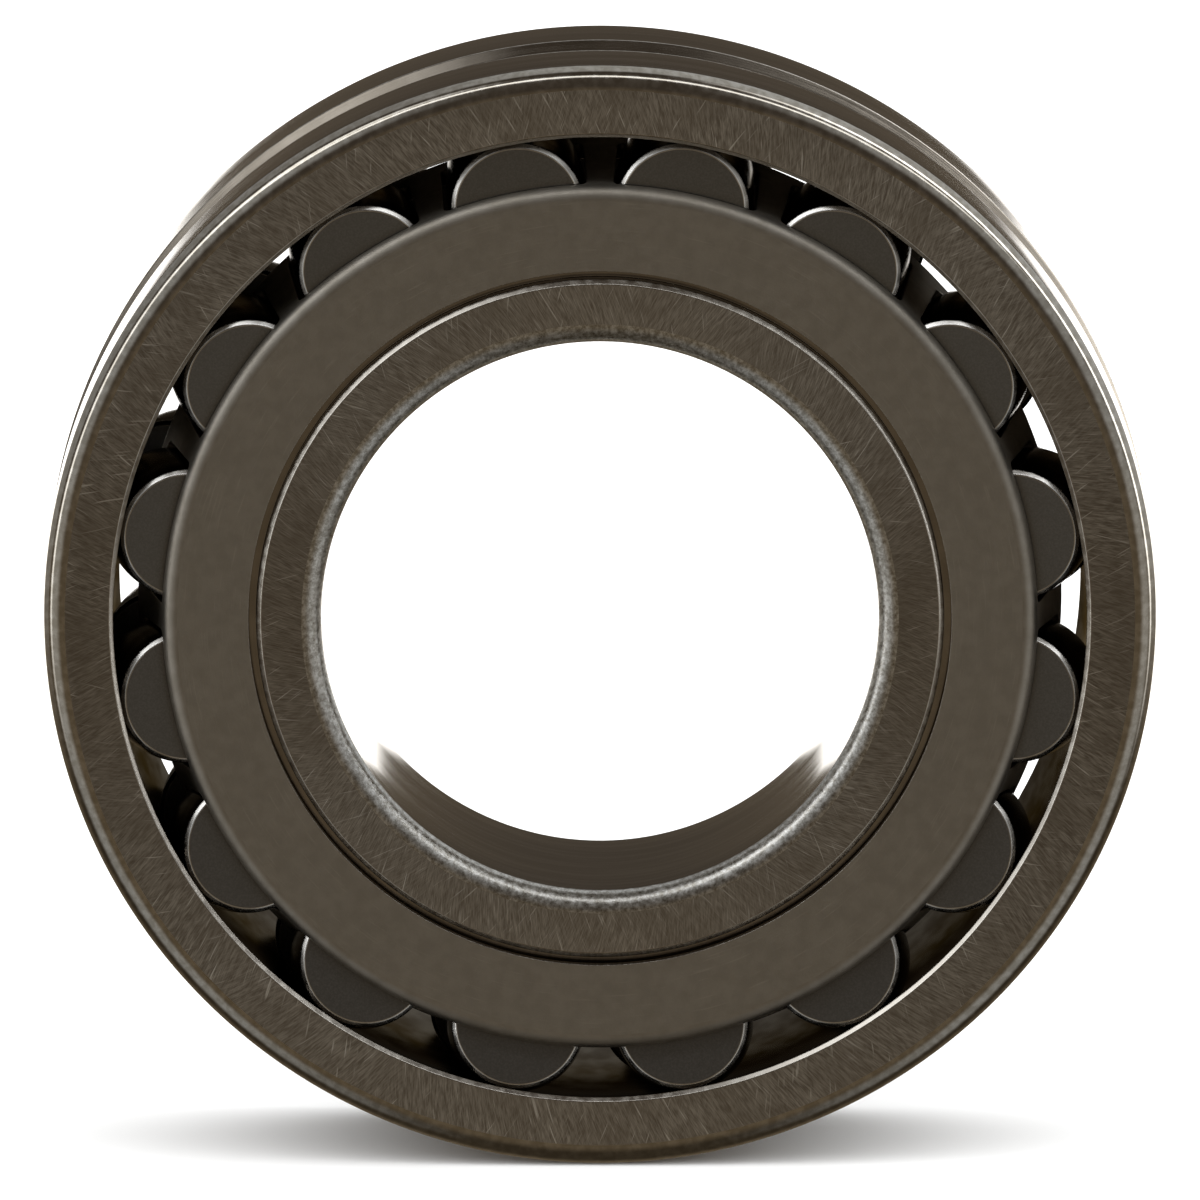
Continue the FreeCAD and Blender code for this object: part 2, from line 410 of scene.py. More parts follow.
def roller_surface():
    """One barrel about Y, from pole to pole: a flat end, a small break, and a crown whose radius at
    the distance y is roller_r less the sagitta, profile_r - sqrt(profile_r^2 - y^2)."""
    shoulder_y = half_length - roller_end_break
    across = np.linspace(shoulder_y, -shoulder_y, CROWN_POINTS)
    sagitta = roller_profile_r - np.sqrt(roller_profile_r**2 - across**2)
    crown = np.stack([roller_r - sagitta, across], axis=1)
    face_r = crown[0, 0] - roller_end_break
    flip = np.array([1, -1])
    end = line((0, half_length), (face_r, half_length), 6)
    chamfer = line((face_r, half_length), crown[0])
    outline, strips = profile(
        ("end", end), ("chamfer", chamfer), ("barrel", crown),
        ("chamfer", chamfer[::-1] * flip), ("end", end[::-1] * flip), closed=False,
        ease=ROLLER_EASE)
    points, quads = turned(outline, ROLLER_COLUMNS, closed=False)
    return points, quads, np.repeat(strips, ROLLER_COLUMNS)


def rollers(row):
    """The row's rollers. Each point keeps its place in the roller's own axes for the grain."""
    own, quads, strips = roller_surface()
    for index in range(rollers_per_row):
        clock = first_clock[row] + index * 360 / rollers_per_row
        centre, axes = roller_frame(clock, row_side[row])
        points = np.hstack([centre + own @ axes, own])
        add_piece(f"{row}_roller_{index + 1:02d}", points, quads, strips, roller_finishes)


# ============================== cages
WINDOW_EASE = 0.05
WINDOW_BEND = 0.3           # as HOLE_BEND, for a window's edge
SIDE_STEPS = 14
END_STEPS = 12
CORNER_STEPS = 4
RIM_EASE = 0.06
PATCH_PAST_BEND = 0.12      # how far past the start of the bend the windows' patches run
PATCH_SHARES = np.array([0, 0.3, 0.55, 0.75, 0.9, 1])   # rows from a sector's edge to its window's
SOLVING_ROUNDS = 6
sector = 2 * pi / rollers_per_row
bend_start = (bend_centre_r - pitch_r) * -sin(slope) + (bend_y - row_offset) * cos(slope)
patch_end = bend_start + PATCH_PAST_BEND


def sheet_point(angle, run, depth):
    """A point of the pressed sheet, on the +Y side. run is the distance along the wall from the
    roller's middle to the outboard end, and depth is how far it lies below the outer side. Past
    bend_start it follows the bend, at an angle of (run - bend_start) / bend_r more than the slope."""
    straight = np.minimum(run, bend_start)
    radius = pitch_r - straight * sin(slope) + (cage_offset - depth) * cos(slope)
    axial = row_offset + straight * cos(slope) + (cage_offset - depth) * sin(slope)
    turn = slope + np.maximum(run - bend_start, 0) / bend_r
    reach = bend_r - depth
    radius = radius + reach * (np.cos(turn) - cos(slope))
    axial = axial + reach * (np.sin(turn) - sin(slope))
    return around(radius, angle, axial)


def window_edge(depth, grown):
    """The window's edge at a depth in the sheet, as (clock, run), with its corners grown outwards.
    The window is a straight-sided prism about the roller, x across and s along. A point of the cone
    at radius r, x aside, stands sqrt(r^2 - x^2) from the axis in the roller's plane, so
    s = run * cos^2(slope) - sin(slope) * (sqrt(r^2 - x^2) - pitch_r) + height * sin * cos(slope).
    That is solved for run by putting r back in a few times, and the clock angle is asin(x / r)."""
    half_wide = roller_r + window_side_clearance
    half_long = half_length + window_end_clearance
    corner = window_corner_r + grown
    wide, long = half_wide - window_corner_r, half_long - window_corner_r
    quarter = np.linspace(0, pi / 2, CORNER_STEPS + 1)[:-1]
    x, s = [], []
    for turn, here, there, steps in (
            (0, (1, 1), (-1, 1), SIDE_STEPS), (1, (-1, 1), (-1, -1), END_STEPS),
            (2, (-1, -1), (1, -1), SIDE_STEPS), (3, (1, -1), (1, 1), END_STEPS)):
        angle = quarter + turn * pi / 2
        x.append(here[0] * wide + corner * np.cos(angle))
        s.append(here[1] * long + corner * np.sin(angle))
        share = np.arange(steps) / steps
        normal = (cos((turn + 1) * pi / 2), sin((turn + 1) * pi / 2))
        x.append((here[0] * (1 - share) + there[0] * share) * wide + corner * normal[0])
        s.append((here[1] * (1 - share) + there[1] * share) * long + corner * normal[1])
    x, s = np.concatenate(x), np.concatenate(s)
    height = cage_offset - depth
    run = s
    for _ in range(SOLVING_ROUNDS):
        radius = pitch_r - run * sin(slope) + height * cos(slope)
        run = (s + sin(slope) * (np.sqrt(radius**2 - x**2) - pitch_r)
               - height * sin(slope) * cos(slope)) / cos(slope)**2
    return np.arcsin(x / radius), run


def sector_edge(rim_run):
    """The sector's boundary about one window, as (clock, run), with a point for each point of the
    window's edge. It is the rectangle between the rim and the bend, half a sector each way."""
    half = sector / 2
    corners = [(half, patch_end), (-half, patch_end), (-half, rim_run), (half, rim_run)]
    clock, run = [], []
    for index, steps in enumerate((SIDE_STEPS, END_STEPS, SIDE_STEPS, END_STEPS)):
        share = np.arange(steps + CORNER_STEPS) / (steps + CORNER_STEPS)
        (c0, r0), (c1, r1) = corners[index], corners[(index + 1) % 4]
        clock.append(c0 * (1 - share) + c1 * share)
        run.append(r0 * (1 - share) + r1 * share)
    # a window's corner is half before and half after the rectangle's corner
    shift = CORNER_STEPS // 2
    return np.roll(np.concatenate(clock), shift), np.roll(np.concatenate(run), shift)


def wall_point(depth, run):
    """A point of the conical wall's section, as (radius, axial)."""
    return np.array([pitch_r - run * sin(slope) + (cage_offset - depth) * cos(slope),
                     row_offset + run * cos(slope) + (cage_offset - depth) * sin(slope)])


def rim_run(depth):
    """How far along the wall the rim's plane is at a depth in the sheet."""
    return (cage_spacing / 2 - row_offset - (cage_offset - depth) * sin(slope)) / cos(slope)


def cage(row):
    """The pressed cage: a patch of sheet about each window, on both sides of the sheet and joined
    through the window, then the rim's strip and the strip of bend and flange, all round."""
    outside_rim = rim_run(0) + RIM_EASE
    inside_rim = rim_run(sheet) + RIM_EASE
    rows = []
    for depth, rim, order in ((0, outside_rim, PATCH_SHARES),
                              (sheet, inside_rim, PATCH_SHARES[::-1])):
        outer_clock, outer_run = sector_edge(rim)
        inner_clock, inner_run = window_edge(depth, WINDOW_EASE)
        patch = [sheet_point(outer_clock * (1 - share) + inner_clock * share,
                             outer_run * (1 - share) + inner_run * share, depth)
                 for share in order]
        rows.append(patch)
    bent = WINDOW_BEND * WINDOW_EASE
    through = [(bent, bent), (WINDOW_EASE, 0), (sheet / 2, 0), (sheet - WINDOW_EASE, 0),
               (sheet - bent, bent)]
    wall = []
    for depth, grown in through:
        clock, run = window_edge(depth, grown)
        wall.append(sheet_point(clock, run, depth))
    one_window = np.array(rows[0] + wall + rows[1])
    count, columns = one_window.shape[:2]
    patch_strips = ["sheet"] * (len(PATCH_SHARES) - 1)
    strips = patch_strips + ["sheared"] * (len(wall) + 1) + patch_strips
    base_quads = grid_quads(count, columns, False)
    points, quads, finishes, base = [], [], [], 0
    for index in range(rollers_per_row):
        turn = radians(first_clock[row] + index * 360 / rollers_per_row)
        x, y, z = one_window[..., 0], one_window[..., 1], one_window[..., 2]
        points.append(np.stack([x * cos(turn) + z * sin(turn), y, z * cos(turn) - x * sin(turn)],
                               axis=-1).reshape(-1, 3))
        quads.append(base_quads + base)
        finishes.append(np.repeat(strips, columns))
        base += count * columns
    # strips all round, whose columns meet the patches'
    across = SIDE_STEPS + CORNER_STEPS
    columns = rollers_per_row * across
    clocks = radians(first_clock[row]) - sector / 2 + np.arange(columns) * sector / across
    outer_edge, inner_edge = wall_point(0, rim_run(0)), wall_point(sheet, rim_run(sheet))
    before, after = wall_point(0, outside_rim), wall_point(sheet, inside_rim)
    rim = np.vstack([eased(before, outer_edge, inner_edge, RIM_EASE / 2),
                     eased(outer_edge, inner_edge, after, RIM_EASE / 2)])
    first = degrees(slope + (patch_end - bend_start) / bend_r)
    centre = (bend_centre_r, bend_y)
    turned_edge = profile(
        ("bend", arc(centre, bend_r, first, 90, 10)),
        ("sheet", line((bend_centre_r, flange_y), (flange_r, flange_y), 8)),
        ("sheared", line((flange_r, flange_y), (flange_r, flange_y - sheet))),
        ("sheet", line((flange_r, flange_y - sheet), (bend_centre_r, flange_y - sheet), 4)),
        ("bend", arc(centre, inside_bend_r, 90, first, 6)), closed=False)
    for outline, strip in ((rim, ["sheared"] * len(rim)), turned_edge):
        ring = around(outline[:, :1], clocks[None, :], outline[:, 1:])
        points.append(ring.reshape(-1, 3))
        quads.append(grid_quads(len(outline), columns, False) + base)
        finishes.append(np.repeat(strip[:len(outline) - 1], columns))
        base += ring.shape[0] * ring.shape[1]
    points = np.concatenate(points) * np.array([1, row_side[row], 1])
    add_piece(row + "_cage", points, np.concatenate(quads), np.concatenate(finishes), cage_finishes)


# ============================== finishes
# Painted shade: a dark specular tint for the raceways and the rollers' barrels, which dims their glare
# at a slant as the shade inside the bearing would.
PAINTED_SHADE_AT_A_SLANT = (0.30, 0.28, 0.25, 1)     # holds back a mirror's glare at a grazing angle


class Nodes:
    """A node tree being put together. Each method adds a node and gives back its output."""

    def __init__(self, tree):
        self.tree = tree

    def add(self, kind, inputs, output=0, **settings):
        node = self.tree.nodes.new(kind)
        for setting, value in settings.items():
            setattr(node, setting, value)
        for socket, value in inputs.items():
            self.feed(node.inputs[socket], value)
        return node.outputs[output]

    def feed(self, socket, value):
        if isinstance(value, bpy.types.NodeSocket):
            self.tree.links.new(value, socket)
        else:
            socket.default_value = value

    def maths(self, operation, first, second=0.0):
        return self.add("ShaderNodeMath", {0: first, 1: second}, operation=operation)

    def vectors(self, operation, inputs, output=0):
        return self.add("ShaderNodeVectorMath", inputs, output, operation=operation)


class Finish(Nodes):
    """A steel finish. Distances along the piece are in millimetres."""

    def __init__(self, name, stored=False):
        self.material = bpy.data.materials.new(name)
        self.material.use_nodes = True
        super().__init__(self.material.node_tree)
        self.shader = self.tree.nodes["Principled BSDF"]
        self.lathe(stored)

    def remap(self, value, low, high, to_low, to_high):
        return self.add("ShaderNodeMapRange", {0: value, 1: low, 2: high, 3: to_low, 4: to_high},
                        interpolation_type="SMOOTHSTEP")

    def blend(self, share, first, second):
        """The first colour where share is 0, the second where it is 1."""
        return self.add("ShaderNodeMix", {0: share, 6: (*first, 1) if type(first) is tuple else first,
                                          7: (*second, 1) if type(second) is tuple else second},
                        2, data_type="RGBA")

    def tones(self, value, low, high, dark, light):
        """From the dark tone where value is low to the light one where it is high."""
        return self.blend(self.remap(value, low, high, 0, 1), dark, light)

    def noise(self, vector, scale, detail=2.0, roughness=0.5):
        return self.add("ShaderNodeTexNoise", {"Vector": vector, "Scale": scale, "Detail": detail,
                                               "Roughness": roughness})

    def lathe(self, stored):
        """Sets the place on the piece: radius and axial distance, and the unit vector from the axis.
        A roller has its own axes stored in its points."""
        if stored:
            place = self.add("ShaderNodeAttribute", {}, 1, attribute_name="own_axis")
        else:
            place = self.add("ShaderNodeTexCoord", {}, 3)
        self.place = self.vectors("SCALE", {0: place, "Scale": 1 / MM})
        flat = self.vectors("MULTIPLY", {0: self.place, 1: (1, 0, 1)})
        self.radius = self.vectors("LENGTH", {0: flat}, 1)
        self.outwards = self.vectors("NORMALIZE", {0: flat})
        self.axial = self.add("ShaderNodeSeparateXYZ", {0: self.place}, 1)

    def streaks(self, across, along_radius, along_axis, lean=0.0, detail=2.0, start=0.0):
        """Noise drawn out along lathe lines: the unit vector from the axis times across, moved by the
        radius times along_radius plus the axial distance times along_axis plus start. A lean turns
        it with the logarithm of the radius, so that the lines stand at that slope to the radius."""
        outwards = self.outwards
        if lean:
            turn = self.maths("MULTIPLY", self.maths("LOGARITHM", self.radius, e), lean)
            outwards = self.add("ShaderNodeVectorRotate", {0: outwards, "Angle": turn},
                                rotation_type="Y_AXIS")
        spread = self.vectors("SCALE", {0: outwards, "Scale": across})
        along = self.add("ShaderNodeMath", {0: self.axial, 1: along_axis, 2: start},
                         operation="MULTIPLY_ADD")
        travel = self.maths("ADD", self.maths("MULTIPLY", self.radius, along_radius), along)
        shift = self.add("ShaderNodeCombineXYZ", {1: travel})
        return self.noise(self.vectors("ADD", {0: spread, 1: shift}), 1.0, detail)

    def draw_round(self, anisotropy):
        """Spreads the gloss round the piece, as lines drawn along its radius do."""
        tangent = self.vectors("CROSS_PRODUCT", {0: (0, 1, 0), 1: self.outwards})
        tangent = self.add("ShaderNodeVectorTransform", {0: tangent}, vector_type="VECTOR",
                           convert_from="OBJECT", convert_to="WORLD")
        self.feed(self.shader.inputs["Tangent"], tangent)
        self.shader.inputs["Anisotropic"].default_value = anisotropy

    def finish(self, colour, roughness, height=None, depth=0.0):
        """Feeds the shader. height is the relief, from 0 to 1, and depth is its full height."""
        self.shader.inputs["Metallic"].default_value = 1.0
        self.feed(self.shader.inputs["Base Color"], colour)
        self.feed(self.shader.inputs["Roughness"], roughness)
        if height is not None:
            bump = self.add("ShaderNodeBump", {"Height": height, "Distance": depth * MM})
            self.feed(self.shader.inputs["Normal"], bump)
        return self.material


def ground_face():
    """Ring face off a face grinder: fine lines leaning one way in some stretches and the other way
    in others, with brighter scratches among them, and cloudy patches where the wheel bit less."""
    steel = Finish("ground_face")
    steel.draw_round(0.8)
    stretches = steel.remap(steel.noise(steel.vectors("ADD", {0: steel.place, 1: (60, 0, 0)}), 0.07, 1),
                            0.42, 0.58, 0, 1)
    grains = []
    for lean, start in ((0.34, 0), (-0.30, 30)):
        wide = steel.streaks(210, 0.8, 0, lean=lean, detail=2, start=start)
        fine = steel.streaks(520, 1.3, 0, lean=lean * 1.15, detail=3, start=start + 7)
        grains.append(steel.maths("ADD", steel.maths("MULTIPLY", wide, 0.4),
                                  steel.maths("MULTIPLY", fine, 0.6)))
    leaning = steel.add("ShaderNodeMix", {0: stretches, 2: grains[0], 3: grains[1]})
    crossing = steel.maths("MAXIMUM", grains[0], grains[1])
    grain = steel.maths("ADD", steel.maths("MULTIPLY", leaning, 0.7),
                        steel.maths("MULTIPLY", crossing, 0.3))
    left = steel.streaks(230, 0.35, 0, lean=0.42, detail=1, start=20)
    right = steel.streaks(230, 0.35, 0, lean=-0.42, detail=1, start=40)
    scratches = steel.maths("MAXIMUM", steel.remap(left, 0.66, 0.76, 0, 1),
                            steel.remap(right, 0.68, 0.78, 0, 1))
    clouds = steel.noise(steel.place, 0.25, 3)
    tone = steel.tones(grain, 0.38, 0.66, (0.30, 0.265, 0.225), (0.66, 0.61, 0.535))
    tone = steel.blend(scratches, tone, (0.95, 0.92, 0.86))
    tone = steel.blend(steel.remap(clouds, 0.35, 0.75, 0, 0.5), tone, (0.34, 0.295, 0.24))
    roughness = steel.remap(grain, 0.3, 0.7, 0.36, 0.46)
    relief = steel.maths("SUBTRACT", grain, steel.maths("MULTIPLY", scratches, 0.5))
    return steel.finish(tone, roughness, relief, 0.006)


def polished_rim():
    """Outside of the outer ring: polished, with faint bands and hairlines round it."""
    steel = Finish("polished_rim")
    hair = steel.streaks(6, 0, 30, detail=3)
    bands = steel.streaks(1.5, 0, 1.6, detail=1, start=9)
    tone = steel.tones(bands, 0.35, 0.65, (0.46, 0.41, 0.35), (0.58, 0.52, 0.46))
    roughness = steel.maths("ADD", steel.remap(bands, 0.3, 0.7, 0.06, 0.12),
                            steel.maths("MULTIPLY", hair, 0.05))
    return steel.finish(tone, roughness, hair, 0.0003)


def smooth_rounding():
    """The big outer rounding, barrelled smooth, with a trace of the turning lines."""
    steel = Finish("smooth_rounding")
    lines = steel.streaks(10, 14, 14, detail=2)
    rubbed = steel.noise(steel.place, 1.6, 4)
    tone = steel.tones(rubbed, 0.35, 0.7, (0.46, 0.42, 0.36), (0.62, 0.58, 0.52))
    roughness = steel.maths("ADD", steel.remap(rubbed, 0.3, 0.7, 0.07, 0.13),
                            steel.maths("MULTIPLY", lines, 0.05))
    return steel.finish(tone, roughness, lines, 0.0005)


def rough_rounding():
    """The bore's rounding as it left the heat treatment: turned, grey and a little coarse."""
    steel = Finish("rough_rounding")
    lines = steel.streaks(14, 9, 9, detail=3)
    grit = steel.noise(steel.place, 2.6, 6, 0.75)
    tone = steel.tones(grit, 0.38, 0.66, (0.46, 0.435, 0.39), (1.0, 0.99, 0.96))
    roughness = steel.remap(grit, 0.3, 0.7, 0.26, 0.38)
    relief = steel.maths("ADD", steel.maths("MULTIPLY", lines, 0.6), grit)
    return steel.finish(tone, roughness, relief, 0.010)


def rubbed_edge():
    """Small breaks and corners, rubbed bright where they have been handled."""
    steel = Finish("rubbed_edge")
    rubbed = steel.noise(steel.place, 1.4, 3, 0.5)
    tone = steel.tones(rubbed, 0.4, 0.65, (0.54, 0.50, 0.45), (0.70, 0.66, 0.60))
    roughness = steel.remap(rubbed, 0.3, 0.7, 0.16, 0.26)
    return steel.finish(tone, roughness, rubbed, 0.0006)


def painted_shade_raceway():
    """Raceways, honed to a mirror with the finest lines round them. Their colour is painted shade: kept
    near black for the shade deep between the rings and the rollers.
    """
    steel = Finish("painted_shade_raceway")
    hair = steel.streaks(5, 18, 26, detail=3)
    clouds = steel.noise(steel.place, 0.5, 2)
    # painted shade: the raceways' tones are kept near black for the shade inside the bearing
    tone = steel.tones(clouds, 0.3, 0.7, (0.13, 0.115, 0.10), (0.20, 0.18, 0.155))
    roughness = steel.maths("ADD", steel.remap(clouds, 0.3, 0.7, 0.10, 0.15),
                            steel.maths("MULTIPLY", hair, 0.06))
    steel.shader.inputs["Specular Tint"].default_value = PAINTED_SHADE_AT_A_SLANT
    return steel.finish(tone, roughness, hair, 0.0008)


def turned_groove():
    """The lubrication groove and its holes: turned, not ground, so the tool's lines still show."""
    steel = Finish("turned_groove")
    lines = steel.streaks(3, 12, 12, detail=1)
    stain = steel.noise(steel.place, 0.35, 3, 0.5)
    tone = steel.tones(stain, 0.3, 0.7, (0.35, 0.31, 0.26), (0.43, 0.385, 0.33))
    roughness = steel.remap(lines, 0.3, 0.7, 0.10, 0.20)
    return steel.finish(tone, roughness, lines, 0.0008)


def honed_bore():
    """Bore, finely ground: satin lines round it and faint bands along it."""
    steel = Finish("honed_bore")
    hair = steel.streaks(12, 0, 22, detail=3)
    bands = steel.streaks(2, 0, 1.1, detail=2, start=5)
    tone = steel.tones(bands, 0.35, 0.65, (0.45, 0.41, 0.35), (0.56, 0.52, 0.46))
    roughness = steel.maths("ADD", steel.remap(bands, 0.3, 0.7, 0.05, 0.09),
                            steel.maths("MULTIPLY", hair, 0.05))
    return steel.finish(tone, roughness, hair, 0.0003)


def pressed_sheet():
    """Cage sheet, pressed and then treated to a matte dark grey-brown skin, with a fine tooth, faint
    scuffs round the ring and rubbed spots."""
    steel = Finish("pressed_sheet")
    tooth = steel.noise(steel.place, 14, 4, 0.7)
    mottle = steel.noise(steel.place, 0.9, 4, 0.6)
    scuffs = steel.streaks(9, 7, 3, detail=2)
    tone = steel.tones(mottle, 0.3, 0.7, (0.48, 0.442, 0.382), (0.545, 0.505, 0.44))
    tone = steel.blend(steel.remap(scuffs, 0.6, 0.75, 0, 0.4), tone, (0.70, 0.655, 0.58))
    roughness = steel.remap(tooth, 0.3, 0.7, 0.42, 0.56)
    relief = steel.maths("ADD", tooth, steel.maths("MULTIPLY", scuffs, 0.5))
    return steel.finish(tone, roughness, relief, 0.008)


def sheared_sheet():
    """Where the sheet was cut: brighter, with the punch's lines across the thickness."""
    steel = Finish("sheared_sheet")
    lines = steel.streaks(260, 0.6, 0.6, detail=2)
    tone = steel.tones(lines, 0.35, 0.65, (0.42, 0.38, 0.33), (0.62, 0.58, 0.52))
    roughness = steel.remap(lines, 0.3, 0.7, 0.30, 0.42)
    return steel.finish(tone, roughness, lines, 0.005)


def bent_sheet():
    """The outside of the bend, drawn tight and burnished over the die."""
    steel = Finish("bent_sheet")
    tooth = steel.noise(steel.place, 10, 4, 0.65)
    draw = steel.noise(steel.place, 0.6, 3, 0.6)
    tone = steel.tones(draw, 0.35, 0.65, (0.47, 0.43, 0.37), (0.54, 0.50, 0.44))
    roughness = steel.remap(tooth, 0.3, 0.7, 0.42, 0.52)
    return steel.finish(tone, roughness, tooth, 0.003)


def roller_end():
    """Flat end of a roller: dark and matte, with fine rings from facing and a few nicks."""
    steel = Finish("roller_end", stored=True)
    rings = steel.streaks(2, 11, 0, detail=2)
    grit = steel.noise(steel.place, 7, 4, 0.65)
    tone = steel.tones(grit, 0.35, 0.7, (0.235, 0.230, 0.220), (0.29, 0.28, 0.265))
    roughness = steel.remap(grit, 0.3, 0.7, 0.38, 0.46)
    relief = steel.maths("ADD", rings, steel.maths("MULTIPLY", grit, 0.7))
    return steel.finish(tone, roughness, relief, 0.002)


def painted_shade_barrel():
    """The rolling surface: lapped to a mirror, with hairlines round it. Its colour is painted shade:
    kept near black for the shade the barrels lie in between the rings.
    """
    steel = Finish("painted_shade_barrel", stored=True)
    hair = steel.streaks(3, 0, 24, detail=3)
    bands = steel.streaks(1, 0, 1.5, detail=1, start=3)
    # painted shade: the barrel's tones are kept near black for the shade between the rings
    tone = steel.tones(bands, 0.35, 0.65, (0.15, 0.14, 0.13), (0.22, 0.21, 0.195))
    roughness = steel.maths("ADD", steel.remap(bands, 0.3, 0.7, 0.10, 0.16),
                            steel.maths("MULTIPLY", hair, 0.06))
    steel.shader.inputs["Specular Tint"].default_value = PAINTED_SHADE_AT_A_SLANT
    return steel.finish(tone, roughness, hair, 0.001)


def roller_break():
    """The small break between a roller's end and its barrel, tumbled bright."""
    steel = Finish("roller_break", stored=True)
    rubbed = steel.noise(steel.place, 1.2, 3, 0.5)
    tone = steel.tones(rubbed, 0.35, 0.65, (0.70, 0.68, 0.65), (0.88, 0.86, 0.83))
    roughness = steel.remap(rubbed, 0.3, 0.7, 0.20, 0.28)
    return steel.finish(tone, roughness, rubbed, 0.0003)


def turned_guide():
    """The guide ring: turned all over and left dull."""
    steel = Finish("turned_guide")
    lines = steel.streaks(4, 9, 9, detail=2)
    mottle = steel.noise(steel.place, 1.1, 3)
    tone = steel.tones(mottle, 0.3, 0.7, (0.36, 0.34, 0.31), (0.48, 0.46, 0.42))
    roughness = steel.remap(lines, 0.3, 0.7, 0.30, 0.44)
    return steel.finish(tone, roughness, lines, 0.004)


# ============================== camera
ELEVATION = 9.6         # degrees above level
LENS = 677.8            # millimetres, for a sensor SENSOR wide
SENSOR = 36
DISTANCE = 1.622        # metres from the front face's middle
RAISED = 0.00141


def add_camera():
    """Looks level with the front face's middle, from the front and a little above."""
    tilt = radians(ELEVATION)
    back, upwards = Vector((0, -cos(tilt), sin(tilt))), Vector((0, sin(tilt), cos(tilt)))
    lens = bpy.data.cameras.new("camera")
    lens.lens, lens.sensor_width = LENS, SENSOR
    lens.clip_start, lens.clip_end = 0.05, 20
    camera = bpy.data.objects.new("camera", lens)
    camera.location = Vector((0, -half_width * MM, 0)) + back * DISTANCE + upwards * RAISED
    camera.rotation_euler = back.to_track_quat("Z", "Y").to_euler()
    bpy.context.scene.collection.objects.link(camera)
    bpy.context.scene.camera = camera


# ============================== studio
# An angle's band is its low edge, high edge and softness, in degrees. An edge of a part of a unit
# vector is its middle and softness.
BACKDROP_TURN, BACKDROP_ASIDE = (-15, -2.2, 0.8), (-30, 30, 8)
STRIP, STRIP_ASIDE = (111, 118, 2.5), (-50, 50, 12)
GLOW, HOOD_BOTTOM = (24, 82, 5), (-0.2, 0.3)
SIDE_PANELS, SIDE_CURTAINS, SIDES_FROM = (84, 92, 4), (100, 140, 12), (0.40, 0.25)
LEFT_PANEL_BACK, LEFT_FROM = 13, (0.0, 0.3)
UNDER, UNDER_FROM, UNDER_SHADE = (60, 140, 20), (0.3, 0.3), 0.65
BRIGHT_CORNER, CORNER_FROM, CORNER_GAIN = (0.707, 0, 0.707), (0.6, 0.4), 1.1
BACKDROP_COLOUR, BACKDROP_STRENGTH = (1.0, 0.99, 0.97), 2.0
STRIP_COLOUR, STRIP_STRENGTH, SIDE_STRENGTH = (0.97, 0.99, 1.0), 2.4, 2.2
GLOW_COLOUR, GLOW_STRENGTH, CURTAIN_STRENGTH = (0.92, 0.97, 1.0), 0.24, 0.30
ROOM_LOW = (0.147, 0.117, 0.079)
ROOM_HIGH = (0.066, 0.055, 0.044)
ROOM_CHANGES = (0.0, 0.25)
FLOOR_LIGHT = 4.4
FLOOR_LIGHT_SPREAD = 140    # degrees: a wide light, for a soft shadow
FLOOR_LIGHT_TIP = 20
FLOOR_REACH = 4             # metres
FLOOR_CORNERS = 96


